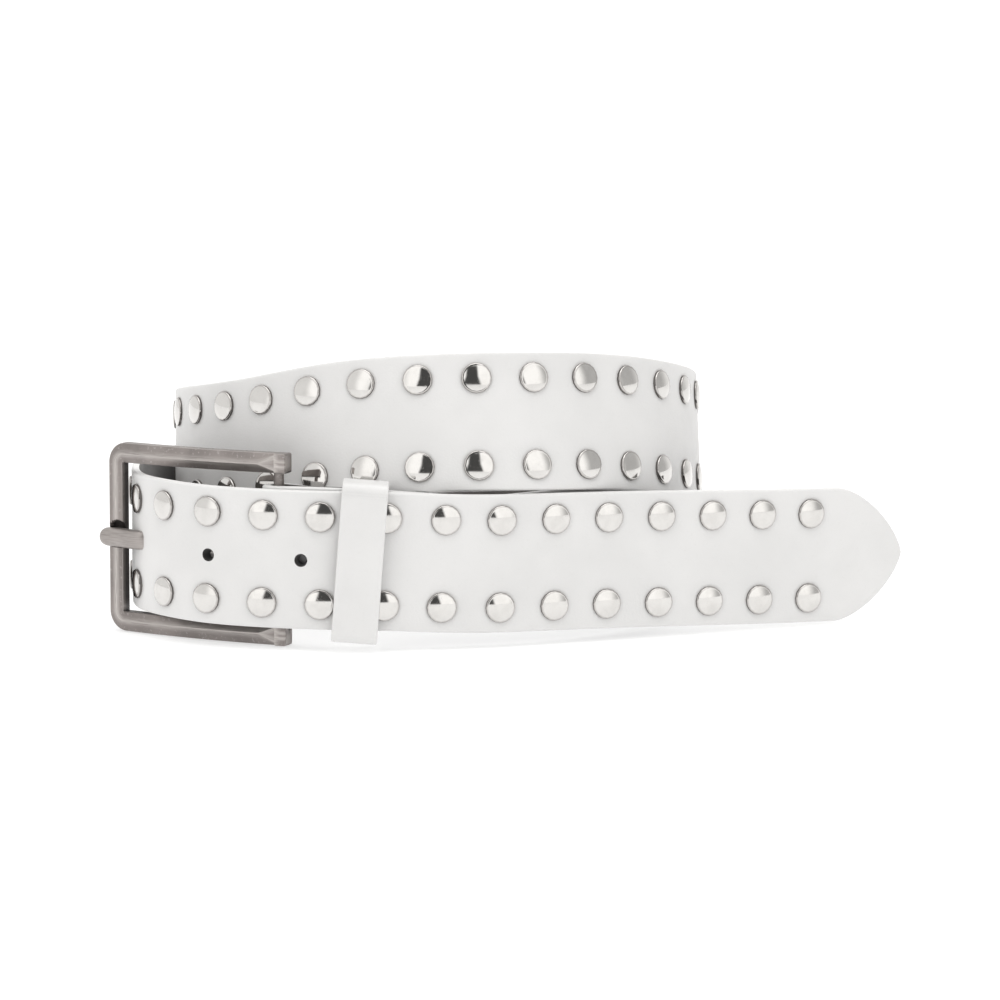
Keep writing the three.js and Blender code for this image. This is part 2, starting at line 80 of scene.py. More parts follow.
def smooth_through(knots, values):
    """Natural cubic through the values at the knots: the second derivative is linear between knots and
    nought at both ends, so the curve bends as a thin strip of leather does."""
    gaps = np.diff(knots)
    inner = np.arange(1, len(knots) - 1)
    system = np.eye(len(knots))
    system[inner, inner - 1] = gaps[:-1]
    system[inner, inner] = 2 * (gaps[:-1] + gaps[1:])
    system[inner, inner + 1] = gaps[1:]
    right = np.zeros_like(values)
    right[1:-1] = 6 * np.diff(np.diff(values, axis=0) / gaps[:, None], axis=0)
    bend = np.linalg.solve(system, right)

    def at(p):
        i = np.clip(np.searchsorted(knots, p) - 1, 0, len(gaps) - 1)
        gap = gaps[i][:, None]
        b = (p[:, None] - knots[i][:, None]) / gap
        a = 1 - b
        curve = (a ** 3 - a) * bend[i] + (b ** 3 - b) * bend[i + 1]
        return a * values[i] + b * values[i + 1] + curve * gap ** 2 / 6

    return at


def course_knots():
    """Lower edge and lean at each station: polar points round the coil, then steps along the tail's heading."""
    turn, reach, layers, rise, lean = stations.T
    radius = reach * coil_radius + layers * layer
    angle = np.radians(turn)
    round_coil = np.column_stack([radius * np.cos(angle), radius * np.sin(angle), rise * strap_width])
    share, heading, tail_rise = tail_stations.T
    step = np.diff(share, prepend=0) * tail_length
    tail = np.column_stack([
        round_coil[-1, 0] + np.cumsum(step * np.cos(np.radians(heading))),
        round_coil[-1, 1] + np.cumsum(step * np.sin(np.radians(heading))),
        tail_rise * strap_width,
    ])
    points = np.vstack([round_coil, tail])
    leans = np.concatenate([lean, np.zeros(len(tail))])[:, None]
    chords = np.linalg.norm(np.diff(points[:, :2], axis=0), axis=1)
    return np.concatenate([[0], np.cumsum(chords)]), points + coil_centre, leans


knots, knot_points, knot_leans = course_knots()
lower_edge = smooth_through(knots, knot_points)
lean_along = smooth_through(knots, knot_leans)
course_end = knots[-1]


def frame_on_course(p):
    """Origin on the lower edge and the unit directions along, up and out. Along is the slope of the course, level is
    square to it and flat, and up and out are the upright and the level turned by the lean."""
    step = 0.00005
    q = np.clip(p, step, course_end - step)
    along = unit(lower_edge(q + step) - lower_edge(q - step))
    level = unit(np.column_stack([along[:, 1], -along[:, 0], np.zeros(len(p))]))
    upright = np.cross(level, along)
    tilt = np.radians(lean_along(p))
    up = upright * np.cos(tilt) - level * np.sin(tilt)
    out = level * np.cos(tilt) + upright * np.sin(tilt)
    return lower_edge(p), along, up, out


course_steps = np.linspace(0, course_end, int(np.ceil(course_end / 0.001)) + 1)
edge_line, _, up_line, _ = frame_on_course(course_steps)
middle_line = edge_line + up_line * strap_width / 2
lengths = np.concatenate([[0], np.cumsum(np.linalg.norm(np.diff(middle_line, axis=0), axis=1))])
strap_length = lengths[-1]


def strap_frame(s):
    """The strap's frame at lengths s from the bar, measured along the middle of its width."""
    return frame_on_course(np.interp(np.atleast_1d(s), lengths, course_steps))


# ---- Strap ----
# White-coated leather 3 mm thick on a dark backing, with painted edges. The end at the bar is pared
# thin, folded back and slotted for the prong; the other end is cut to a rounded point and punched.
tip_length = 0.023
edge_round = 0.0007
seat = 0.0003
bar_radius = 0.0015
fold_radius = bar_radius + seat + strap_thickness / 2
fold_length = 0.025
fold_pared = 0.0015
prong_radius = 0.0028
frame_lift = 0.0013
stud_pitch = 0.01675
first_stud = 0.0324
second_pressing = 0.0018
studs_before_second_pressing = 9
third_pressing = 0.0037
studs_before_third_pressing = 15
row_inset = 0.00735
stud_radius = 0.0044
hole_radius = 0.0019
hole_pitch = 0.0276
first_hole = 0.1904
hole_count = 5
press_depth = 0.00022
press_reach = 0.0012
wave_depth = 0.00009

order = np.arange(int((strap_length - first_stud) / stud_pitch) + 1)
stud_places = strap_length - first_stud - order * stud_pitch
stud_places = stud_places - np.where(order >= studs_before_second_pressing, second_pressing, 0)
stud_places = stud_places - np.where(order >= studs_before_third_pressing, third_pressing, 0)
stud_places = stud_places[stud_places >= fold_radius + 2 * stud_radius]
stud_heights = {"top": strap_width - row_inset, "bottom": row_inset}
hole_places = strap_length - first_hole - np.arange(hole_count) * hole_pitch

bar_origin, bar_along, bar_up, bar_out = (rows[0] for rows in strap_frame(0.0))
prong_axis = bar_origin + bar_up * (strap_width / 2 + frame_lift) - bar_out * fold_radius


def smoothstep(x):
    """Nought below 0, one above 1, and 3x^2 - 2x^3 between."""
    x = np.clip(x, 0, 1)
    return x * x * (3 - 2 * x)


def half_width(s):
    """Half width of the strap: full, then over the tip (1 - (1 - b)^1.65)^0.7 of it, b from 1 at the shoulder to 0."""
    back = np.clip((strap_length - s) / tip_length, 0.0004, 1)
    return strap_width / 2 * (1 - (1 - back) ** 1.65) ** 0.7


def stud_distance(s, height):
    """Distance on the strap's face to the middle of the nearest stud."""
    along = np.abs(s[:, None] - stud_places[None, :]).min(axis=1)[:, None]
    across = np.minimum(*(np.abs(height - row) for row in stud_heights.values()))
    return np.hypot(along, across)


def ring_places():
    """Lengths from the bar of the strap's rings: every 1.4 mm, every 0.5 mm beside the holes, and closer to the tip
    as the square of the distance from it."""
    straight = strap_length - tip_length
    even = np.arange(0, straight - 0.0007, 0.0014)
    clear = np.abs(even[:, None] - hole_places[None, :]).min(axis=1) > 0.0036
    beside = (hole_places[:, None] + np.linspace(-0.0033, 0.0033, 13)[None, :]).ravel()
    tip = strap_length - tip_length * np.linspace(1, 0, 40) ** 2
    return np.concatenate([np.sort(np.concatenate([even[clear], beside])), tip])


def strip_rings():
    """Rings of the strip as origin, up, out, thickness and t. t is the length along the strip, nought where the bend
    round the bar ends, and below nought on the bend, an arc about the bar, and on the leg folded back behind."""
    main = ring_places()
    leg = np.arange(fold_length, 0.0001, -0.0007)
    origin, _, up, out = strap_frame(leg)
    eased = smoothstep(leg / (0.4 * fold_length))[:, None]
    pared = strap_thickness + (fold_pared - strap_thickness) * eased
    closed = strap_thickness / 2 + seat + pared / 2
    apart = 2 * fold_radius + (closed - 2 * fold_radius) * eased
    angle = np.linspace(np.pi, 0, 17)[:-1, None]
    turned = bar_out * np.cos(angle) - bar_along * np.sin(angle)
    bar_foot = bar_origin - bar_out * fold_radius
    bend_t = -(angle[:, 0]) * fold_radius
    main_origin, _, main_up, main_out = strap_frame(main)
    return {
        "origin": np.vstack([origin - out * apart, bar_foot + turned * fold_radius, main_origin]),
        "up": np.vstack([up, np.repeat(bar_up[None], len(turned), axis=0), main_up]),
        "out": np.vstack([-out, turned, main_out]),
        "thickness": np.concatenate([pared[:, 0], np.full(len(turned) + len(main), strap_thickness)]),
        "t": np.concatenate([-np.pi * fold_radius - leg, bend_t, main]),
    }


def strip_columns():
    """Heights across the width: close at both rounded edges, 0.55 mm in the middle where the holes are, else 1.5 mm."""
    rim = np.array([0, 0.05, 0.2, 0.45, 0.7]) / 1000
    coarse = np.linspace(0.0018, 0.0158, 10)
    fine = np.linspace(0.0165, strap_width / 2, 7)
    lower = np.concatenate([rim, coarse, fine])
    return np.concatenate([lower, strap_width - lower[-2::-1]])


def frame_turn_axes():
    """The buckle's own directions: right along the frame, up the bar, and out of its face, turned from the strap."""
    level = unit(np.cross(bar_up, bar_out))
    heading = np.radians(frame_turn - frame_bow / 2)
    right = level * np.cos(heading) + bar_out * np.sin(heading)
    face = bar_out * np.cos(heading) - level * np.sin(heading)
    return right, face


prong_dive = 0.0442
frame_bow = 16
frame_turn = 19
frame_reach = 0.056
frame_depth = 0.0048
notch_depth = 0.0026
bow_depth = np.tan(np.radians(frame_bow)) * frame_reach / 2
prong_rest = frame_depth / 2 - bow_depth - notch_depth + seat + prong_radius
buckle_right, buckle_face = frame_turn_axes()


def prong_hole():
    """Place and height of the hole that the prong dives through: where the strap's middle crosses the line
    square to the buckle's face at the prong's dive."""
    line = prong_axis - buckle_right * prong_dive
    places = np.linspace(strap_length - 0.34, strap_length - 0.22, 2400)
    origin, _, up, _ = strap_frame(places)
    middle = origin + up * (strap_width / 2 + frame_lift) - line
    nearest = np.argmin(np.abs(middle @ buckle_right))
    return places[nearest], strap_width / 2 + frame_lift - middle[nearest] @ bar_up


prong_place, prong_height = prong_hole()
# Cuts as place and height of the middle, half length of the straight part, radius, and the share of
# the radius left at the back, where the leather closes up behind the punch. The prong is in the third
# hole, which has closed round it.
cuts = [(place, strap_width / 2, 0, hole_radius, 0.6) for place in hole_places
        if abs(place - prong_place) > hole_pitch / 2]
cuts.append((-np.pi / 2 * fold_radius, strap_width / 2 + frame_lift,
             np.pi / 2 * fold_radius + 2 * fold_radius - prong_radius, prong_radius + 2 * seat, 1))
cuts.append((prong_place, prong_height, 0, 0.45 * prong_radius, 1))


def grid_faces(index, keep):
    """Quads between neighbouring rows and columns of a grid of point numbers, where keep is true."""
    quads = np.stack([index[:-1, :-1], index[:-1, 1:], index[1:, 1:], index[1:, :-1]], axis=-1)
    return quads[keep]


def cut_walls(front, back, kept):
    """Quads from the front face to the back face along every side that a kept cell shares with a cell cut away."""
    padded = np.pad(kept, 1, constant_values=False)
    sides = []
    for di, dj, a, b in ((-1, 0, (0, 0), (0, 1)), (1, 0, (1, 1), (1, 0)),
                         (0, -1, (1, 0), (0, 0)), (0, 1, (0, 1), (1, 1))):
        neighbour = padded[1 + di:padded.shape[0] - 1 + di, 1 + dj:padded.shape[1] - 1 + dj]
        i, j = np.nonzero(kept & ~neighbour)
        first, second = (i + a[0], j + a[1]), (i + b[0], j + b[1])
        sides.append(np.column_stack([front[second], front[first], back[first], back[second]]))
    return np.vstack(sides)


def strap_grid():
    """The strip as a grid of rings and columns, once for the front face and once for the back. A face stands half the
    thickness from the middle, and rounds over near the rim as a quarter circle of the distance from the rim.
    Beside a stud the front is pressed in by a bell of the distance to it, and slow waves run along it."""
    rings = strip_rings()
    t = rings["t"]
    columns = strip_columns()
    half = half_width(t)
    place = np.repeat(t[:, None], len(columns), axis=1)
    height = strap_width / 2 + (columns - strap_width / 2)[None, :] * (half / (strap_width / 2))[:, None]
    kept = np.ones((len(t) - 1, len(columns) - 1), bool)
    back_place, back_height = place, height
    for middle, level, straight, radius, closing in cuts:
        cell_t = (t[:-1] + t[1:])[:, None] / 2 - middle
        cell_h = (height[:-1, :-1] + height[1:, 1:]) / 2 - level
        beyond = np.hypot(np.maximum(np.abs(cell_t) - straight, 0), cell_h)
        gone = beyond < radius
        kept &= ~gone
        touched = np.zeros(height.shape, bool)
        for di in (0, 1):
            for dj in (0, 1):
                touched[di:di + gone.shape[0], dj:dj + gone.shape[1]] |= gone
        core = np.clip(place - middle, -straight, straight)
        dt, dh = place - middle - core, height - level
        length = np.maximum(np.hypot(dt, dh), 1e-9)
        place = np.where(touched, middle + core + dt / length * radius, place)
        height = np.where(touched, level + dh / length * radius, height)
        back_place = np.where(touched, middle + core + dt / length * radius * closing, back_place)
        back_height = np.where(touched, level + dh / length * radius * closing, back_height)
    slope = np.gradient(half, t)
    to_side = (half[:, None] - np.abs(height - strap_width / 2)) / np.hypot(1, slope)[:, None]
    to_end = np.minimum(strap_length - t, t - t[0])[:, None]
    to_rim = np.clip(np.minimum(to_side, to_end), 0, edge_round)
    thick = rings["thickness"][:, None]
    rounded = edge_round - np.sqrt(edge_round ** 2 - (edge_round - to_rim) ** 2)
    to_stud = stud_distance(t, height)
    press = press_depth * np.exp(-((to_stud - stud_radius) / press_reach) ** 2) * (t > 0)[:, None]
    wave = wave_depth * np.sin(t * 71 + 0.6)[:, None] * np.sin(t * 173)[:, None] * np.cos((height - 0.013) * 160)
    inward = smoothstep((thick - fold_pared) / 0.001)
    along = unit(np.gradient(rings["origin"] + rings["up"] * strap_width / 2, t, axis=0))

    def lifted(at_place, at_height, outwards):
        """Points at a place and height, so far out of the middle of the thickness."""
        shift = (at_place - t[:, None])[..., None]
        return (rings["origin"][:, None] + along[:, None] * shift + rings["up"][:, None] * at_height[..., None]
                + rings["out"][:, None] * outwards[..., None])

    front = lifted(place, height, thick / 2 - rounded - (press + wave) * inward)
    back = lifted(back_place, back_height, rounded - thick / 2)
    return place, height, front, back, kept, to_rim, to_stud


def add_piece(name, points, faces, uv, crease=38, **marks):
    """Mesh from points and quads, with each point's place on the surface as its UV map and one attribute for
    each further mark. Sides that meet at more than the crease's degrees have a sharp edge."""
    mesh = bpy.data.meshes.new(name)
    mesh.from_pydata(points.tolist(), [], faces)
    corner = np.empty(len(mesh.loops), np.int32)
    mesh.loops.foreach_get("vertex_index", corner)
    layer_uv = mesh.uv_layers.new(name="surface")
    layer_uv.data.foreach_set("uv", uv[corner].astype(np.float32).ravel())
    for mark, values in marks.items():
        mesh.attributes.new(mark, "FLOAT", "POINT").data.foreach_set("value", values.astype(np.float32))
    mesh.polygons.foreach_set("use_smooth", np.ones(len(mesh.polygons), bool))
    mesh.update()
    mesh.validate()
    mesh.set_sharp_from_angle(angle=np.radians(crease))
    piece = bpy.data.objects.new(name, mesh)
    bpy.context.scene.collection.objects.link(piece)
    return piece


def strap_piece():
    """Front, back, rim walls and cut walls of the strip in one closed mesh; returns it and the kind of each face."""
    place, height, front, back, kept, to_rim, to_stud = strap_grid()
    rows, columns = height.shape
    front_index = np.arange(rows * columns).reshape(rows, columns)
    back_index = front_index + rows * columns
    face = grid_faces(front_index, kept)
    behind = grid_faces(back_index, kept)[:, ::-1]
    walls = cut_walls(front_index, back_index, kept)
    cut = np.isin(walls[:, 0], front_index[1:-1, 1:-1])
    faces = np.vstack([face, behind, walls])
    kind = np.concatenate([np.zeros(len(face), int), np.full(len(behind), 2), np.where(cut, 3, 1)])
    points = np.vstack([front.reshape(-1, 3), back.reshape(-1, 3)])
    used = np.unique(faces)
    renumber = np.zeros(len(points), int)
    renumber[used] = np.arange(len(used))
    uv = np.column_stack([np.tile(place.ravel(), 2), np.tile(height.ravel(), 2)])
    marks = {"to_rim": np.tile(to_rim.ravel(), 2)[used], "to_stud": np.tile(to_stud.ravel(), 2)[used]}
    made = add_piece("belt_strap", points[used], renumber[faces][:, ::-1].tolist(), uv[used], **marks)
    made.data.polygons.foreach_set("material_index", kind.astype(np.int32))
    return made


def node(tree, kind, inputs=None, **settings):
    """A node with its settings, each input a value or the output that feeds it."""
    made = tree.nodes.new(kind)
    for setting, value in settings.items():
        setattr(made, setting, value)
    for socket, value in (inputs or {}).items():
        if isinstance(value, bpy.types.NodeSocket):
            tree.links.new(value, made.inputs[socket])
        else:
            made.inputs[socket].default_value = value
    return made


def noise(tree, vector, scale, detail, **more):
    """Noise of this scale and detail on the vector."""
    return node(tree, "ShaderNodeTexNoise", {"Vector": vector, "Scale": scale, "Detail": detail, **more})


def surface_of(tree):
    """The piece's own place and height on the leather or metal."""
    return node(tree, "ShaderNodeUVMap", uv_map="surface").outputs[0]


def mark_of(tree, name):
    """A mark that the mesh carries at each point."""
    return node(tree, "ShaderNodeAttribute", attribute_name=name).outputs["Fac"]


def group(name, inputs, outputs):
    """An empty node group with named inputs and outputs; returns the tree and its input and output nodes."""
    tree = bpy.data.node_groups.new(name, "ShaderNodeTree")
    for socket, kind, value in inputs:
        made = tree.interface.new_socket(socket, in_out="INPUT", socket_type=kind)
        if value is not None:
            made.default_value = value
    for socket in outputs:
        tree.interface.new_socket(socket, in_out="OUTPUT", socket_type="NodeSocketFloat")
    return tree, tree.nodes.new("NodeGroupInput").outputs, tree.nodes.new("NodeGroupOutput").inputs


def leather_grain():
    """Grain of coated leather: cells of a smooth Voronoi bent by noise, open pores between them, slow mottling."""
    tree, given, made = group("leather_grain", [
        ("Surface", "NodeSocketVector", None), ("Cells", "NodeSocketFloat", 1500.0)], ["Grain", "Pores", "Mottle"])
    bend = noise(tree, given["Surface"], 420.0, 2.0)
    bent = node(tree, "ShaderNodeMixRGB", {0: 0.0006, 1: given["Surface"], 2: bend.outputs["Color"]}, blend_type="ADD")
    cells = node(tree, "ShaderNodeTexVoronoi", {"Vector": bent.outputs[0], "Scale": given["Cells"], "Smoothness": 0.6},
                 feature="SMOOTH_F1")
    fine = noise(tree, given["Surface"], 5200.0, 3.0)
    raised = node(tree, "ShaderNodeMapRange", {"Value": cells.outputs["Distance"], "From Min": 0.15, "From Max": 0.75,
                                               "To Min": 1.0, "To Max": 0.0}, interpolation_type="SMOOTHSTEP")
    height = node(tree, "ShaderNodeMath", {0: fine.outputs["Fac"], 1: 0.25, 2: raised.outputs[0]},
                  operation="MULTIPLY_ADD")
    pores = node(tree, "ShaderNodeMapRange", {"Value": cells.outputs["Distance"], "From Min": 0.62, "From Max": 0.95})
    mottle = noise(tree, given["Surface"], 38.0, 3.0, Roughness=0.55)
    tree.links.new(height.outputs[0], made["Grain"])
    tree.links.new(pores.outputs[0], made["Pores"])
    tree.links.new(mottle.outputs["Fac"], made["Mottle"])
    return tree


def fine_wear():
    """Wear from handling: small haze patches, and hairline scratches where two stretched noises cross a threshold."""
    tree, given, made = group("fine_wear", [
        ("Surface", "NodeSocketVector", None), ("Hairlines", "NodeSocketFloat", 900.0)], ["Haze", "Scratches"])
    haze = noise(tree, given["Surface"], 260.0, 4.0)
    turned = node(tree, "ShaderNodeMapping", {"Vector": given["Surface"], "Rotation": (0.3, 0.5, 0.9),
                                              "Scale": (1.0, 0.04, 1.0)})
    lines = noise(tree, turned.outputs[0], given["Hairlines"], 2.0)
    scratches = node(tree, "ShaderNodeMapRange", {"Value": lines.outputs["Fac"], "From Min": 0.60, "From Max": 0.72})
    tree.links.new(haze.outputs["Fac"], made["Haze"])
    tree.links.new(scratches.outputs[0], made["Scratches"])
    return tree


grain_group = leather_grain()
wear_group = fine_wear()


def new_material(name, colour, roughness, metallic=0.0):
    """A material with the plain values on its shader; returns it, its node tree and the shader."""
    made = bpy.data.materials.new(name)
    made.use_nodes = True
    shader = made.node_tree.nodes["Principled BSDF"]
    shader.inputs["Base Color"].default_value = (*colour, 1)
    shader.inputs["Roughness"].default_value = roughness
    shader.inputs["Metallic"].default_value = metallic
    return made, made.node_tree, shader


def use_group(tree, shared, surface, **values):
    """The shared group in a material, fed with the piece's own surface coordinates."""
    return node(tree, "ShaderNodeGroup", {"Surface": surface, **values}, node_tree=shared)


def tint(tree, fac, first, second):
    """Colour between a colour, or an output that gives one, and a second colour by a mask."""
    first = first if isinstance(first, bpy.types.NodeSocket) else (*first, 1)
    return node(tree, "ShaderNodeMix", {0: fac, 6: first, 7: (*second, 1)}, data_type="RGBA").outputs[2]


def between(tree, value, low, high, new_low, new_high):
    """The value taken from one range to another, smoothly."""
    return node(tree, "ShaderNodeMapRange", {"Value": value, "From Min": low, "From Max": high, "To Min": new_low,
                                             "To Max": new_high}, interpolation_type="SMOOTHSTEP").outputs[0]


def times(tree, first, second, operation="MULTIPLY"):
    """Two values multiplied, or joined by another operation."""
    return node(tree, "ShaderNodeMath", {0: first, 1: second}, operation=operation).outputs[0]


def bump(tree, shader, height, depth):
    """Relief of the height, so many metres deep, on the shader's normal."""
    made = node(tree, "ShaderNodeBump", {"Height": height, "Distance": depth, "Strength": 1.0})
    tree.links.new(made.outputs[0], shader.inputs["Normal"])


def white_leather(name, on_strap=True):
    """Coated face: nearly white, a little greyer in the pores, with painted shade in a ring round the studs, faint
    mottling.
    """
    made, tree, shader = new_material(name, (0.70, 0.694, 0.687), 0.5)
    surface = surface_of(tree)
    grain = use_group(tree, grain_group, surface, Cells=1500.0)
    mottled = between(tree, grain.outputs["Mottle"], 0.3, 0.7, 0.0, 1.0)
    colour = tint(tree, mottled, (0.68, 0.675, 0.668), (0.72, 0.714, 0.707))
    pore_soil_and_stud_shade = between(tree, grain.outputs["Pores"], 0.0, 1.0, 0.0, 0.12)
    if on_strap:
        to_stud = mark_of(tree, "to_stud")
        # Painted shade: a grey ring on the leather round each stud's rim, standing in for the stud's contact shadow.
        beside = between(tree, to_stud, 0.0044, 0.0050, 0.40, 0.0)
        pore_soil_and_stud_shade = times(tree, pore_soil_and_stud_shade, beside, "MAXIMUM")
    tree.links.new(tint(tree, pore_soil_and_stud_shade, colour, (0.56, 0.54, 0.52)), shader.inputs["Base Color"])
    wear = use_group(tree, wear_group, surface, Hairlines=500.0)
    rough = between(tree, wear.outputs["Haze"], 0.3, 0.7, 0.42, 0.56)
    tree.links.new(rough, shader.inputs["Roughness"])
    relief = times(tree, grain.outputs["Grain"], times(tree, wear.outputs["Scratches"], 0.4), "SUBTRACT")
    bump(tree, shader, relief, 0.000014)
    shader.inputs["Coat Weight"].default_value = 0.12
    shader.inputs["Coat Roughness"].default_value = 0.35
    shader.inputs["Specular IOR Level"].default_value = 0.45
    return made


def painted_edge():
    """Edge paint: white, brushed on in streaks that run along the edge, a little thinner here and there."""
    made, tree, shader = new_material("edge_paint", (0.84, 0.835, 0.825), 0.4)
    surface = surface_of(tree)
    run = node(tree, "ShaderNodeMapping", {"Vector": surface, "Scale": (1.0, 14.0, 1.0)}).outputs[0]
    streaks = noise(tree, run, 240.0, 4.0).outputs["Fac"]
    colour = tint(tree, between(tree, streaks, 0.35, 0.75, 0.0, 1.0), (0.85, 0.845, 0.835), (0.74, 0.73, 0.715))
    tree.links.new(colour, shader.inputs["Base Color"])
    tree.links.new(between(tree, streaks, 0.3, 0.7, 0.34, 0.5), shader.inputs["Roughness"])
    bump(tree, shader, streaks, 0.00004)
    return made


def dark_backing(name, colour, second):
    """Backing and core: a dark, matt fibre felt, lighter where the fibres stand up."""
    made, tree, shader = new_material(name, colour, 0.9)
    surface = surface_of(tree)
    fibres = noise(tree, surface, 2600.0, 5.0, Distortion=1.6).outputs["Fac"]
    patches = noise(tree, surface, 70.0, 3.0).outputs["Fac"]
    mix = times(tree, fibres, patches, "ADD")
    tree.links.new(tint(tree, between(tree, mix, 0.75, 1.3, 0.0, 1.0), colour, second), shader.inputs["Base Color"])
    tree.links.new(between(tree, fibres, 0.3, 0.7, 0.82, 0.98), shader.inputs["Roughness"])
    bump(tree, shader, fibres, 0.00008)
    shader.inputs["Sheen Weight"].default_value = 0.25
    shader.inputs["Sheen Roughness"].default_value = 0.5
    return made


strap = strap_piece()
# The walls of the holes and the prong's slot are near black, darker than the backing: a dark core, darkened further as
# painted shade inside the holes.
for skin in (white_leather("white_leather_face"), painted_edge(),
             dark_backing("dark_backing", (0.060, 0.055, 0.052), (0.12, 0.112, 0.106)),
             dark_backing("punched_core_and_hole_shade", (0.018, 0.017, 0.016), (0.035, 0.032, 0.03))):
    strap.data.materials.append(skin)
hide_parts("strap")
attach(strap, "root")

# ---- Studs ----
# Low domes of bright nickel-plated sheet with a rolled rim, in two rows down the whole strap. Each is
# pressed through the leather and clenched behind it, so its rim sits on the face.
stud_profile = np.array([
    # radius and height over the leather, from the buried foot to the rim, the groove and the dome
    (4.36, -0.5), (4.40, 0.15), (4.33, 0.50), (4.12, 0.68), (3.90, 0.66), (3.70, 0.72), (2.60, 0.97), (1.30, 1.14),
]) / 1000
stud_top = 0.00119
stud_sides = 16


def stud_points(place, height):
    """A stud's rings and middle point: the profile turned about the strap's out direction at that place."""
    origin, along, up, out = (rows[0] for rows in strap_frame(place))
    foot = origin + up * height + out * strap_thickness / 2
    angle = np.arange(stud_sides) * 2 * np.pi / stud_sides
    spoke = along * np.cos(angle)[:, None] + up * np.sin(angle)[:, None]
    radius, rise = stud_profile.T
    rings = foot + radius[:, None, None] * spoke[None] + rise[:, None, None] * out
    return np.vstack([rings.reshape(-1, 3), foot + out * stud_top, foot + out * stud_profile[0, 1]])


def stud_faces():
    """Quads between the rings, and triangles to the middle points of the dome and of the foot."""
    rings = len(stud_profile)
    i, k = np.meshgrid(np.arange(rings - 1), np.arange(stud_sides), indexing="ij")
    after = (k + 1) % stud_sides
    quads = np.stack([i * stud_sides + k, i * stud_sides + after, (i + 1) * stud_sides + after,
                      (i + 1) * stud_sides + k], axis=-1).reshape(-1, 4)
    k, after = np.arange(stud_sides), (np.arange(stud_sides) + 1) % stud_sides
    last = (rings - 1) * stud_sides
    top = np.column_stack([last + k, last + after, np.full(stud_sides, rings * stud_sides)])
    foot = np.column_stack([after, k, np.full(stud_sides, rings * stud_sides + 1)])
    return quads.tolist() + top.tolist() + foot.tolist()


def bright_nickel():
    """Bright plating: mirror-like, with hairline scratches, tarnish left in the groove beside the rim, and painted
    shade, near black, round the foot where the stud meets the leather.
    """
    made, tree, shader = new_material("bright_nickel", (0.66, 0.645, 0.625), 0.08, 1.0)
    surface = node(tree, "ShaderNodeTexCoord").outputs["Object"]
    wear = use_group(tree, wear_group, surface, Hairlines=2400.0)
    rim = mark_of(tree, "from_middle")
    # Tarnish: darker in the groove beside the rim and over the rim.
    darkening = between(tree, rim, 0.84, 0.97, 0.0, 0.75)
    # Painted shade: the rim's foot, where the stud meets the leather, goes near black as the stud's contact shadow.
    foot = between(tree, rim, 0.985, 1.0, 0.0, 1.0)
    hazy = between(tree, wear.outputs["Haze"], 0.35, 0.7, 0.0, 1.0)
    duller = tint(tree, darkening, tint(tree, hazy, (0.67, 0.655, 0.635), (0.62, 0.605, 0.585)), (0.42, 0.40, 0.385))
    tree.links.new(tint(tree, foot, duller, (0.16, 0.15, 0.145)), shader.inputs["Base Color"])
    polish = between(tree, wear.outputs["Haze"], 0.3, 0.7, 0.05, 0.11)
    rough = times(tree, polish, times(tree, wear.outputs["Scratches"], 0.15), "ADD")
    tree.links.new(rough, shader.inputs["Roughness"])
    bump(tree, shader, wear.outputs["Haze"], 0.000008)
    return made


nickel = bright_nickel()


def add_studs(name, spots):
    """One piece of all studs at the given places and heights."""
    points = np.vstack([stud_points(place, height) for place, height in spots])
    each = len(stud_profile) * stud_sides + 2
    faces = [[corner + n * each for corner in face] for n in range(len(spots)) for face in stud_faces()]
    radius = np.concatenate([np.repeat(stud_profile[:, 0], stud_sides), [0, 0]]) / stud_radius
    angle = np.tile(np.arange(stud_sides) * 2 * np.pi / stud_sides, len(stud_profile))
    turn = np.concatenate([angle, [0, 0]])
    uv = np.column_stack([radius * np.cos(turn), radius * np.sin(turn)]) * 0.5 + 0.5
    mesh = bpy.data.meshes.new(name)
    mesh.from_pydata(points.tolist(), [], faces)
    corner = np.empty(len(mesh.loops), np.int32)
    mesh.loops.foreach_get("vertex_index", corner)
    mesh.uv_layers.new(name="surface").data.foreach_set(
        "uv", np.tile(uv, (len(spots), 1))[corner].astype(np.float32).ravel())
    mesh.attributes.new("from_middle", "FLOAT", "POINT").data.foreach_set(
        "value", np.tile(radius, len(spots)).astype(np.float32))
    mesh.polygons.foreach_set("use_smooth", np.ones(len(mesh.polygons), bool))
    mesh.materials.append(nickel)
    mesh.update()
    piece = bpy.data.objects.new(name, mesh)
    bpy.context.scene.collection.objects.link(piece)
    return piece


def nearest_place(node_name, height):
    """Number of the stud place whose stud lies nearest to the middle of a CAD stud."""
    low, high = (np.array(corner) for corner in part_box(node_name))
    origin, _, up, out = strap_frame(stud_places)
    middles = origin + up * height + out * strap_thickness / 2
    return int(np.argmin(np.linalg.norm(middles - (low + high) / 2, axis=1)))


for row, height in stud_heights.items():
    own = {}
    for node_name in sorted(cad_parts):
        if node_name.startswith(f"stud_{row}_"):
            own[nearest_place(node_name, height)] = node_name
    for place, node_name in own.items():
        head = add_studs(node_name.replace("stud_", "stud_head_"), [(stud_places[place], height)])
        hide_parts(node_name)
        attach(head, "root")
    others = [(s, height) for place, s in enumerate(stud_places) if place not in own]
    rest_of_row = add_studs(f"studs_round_coil_{row}", others)
    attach(rest_of_row, "root")

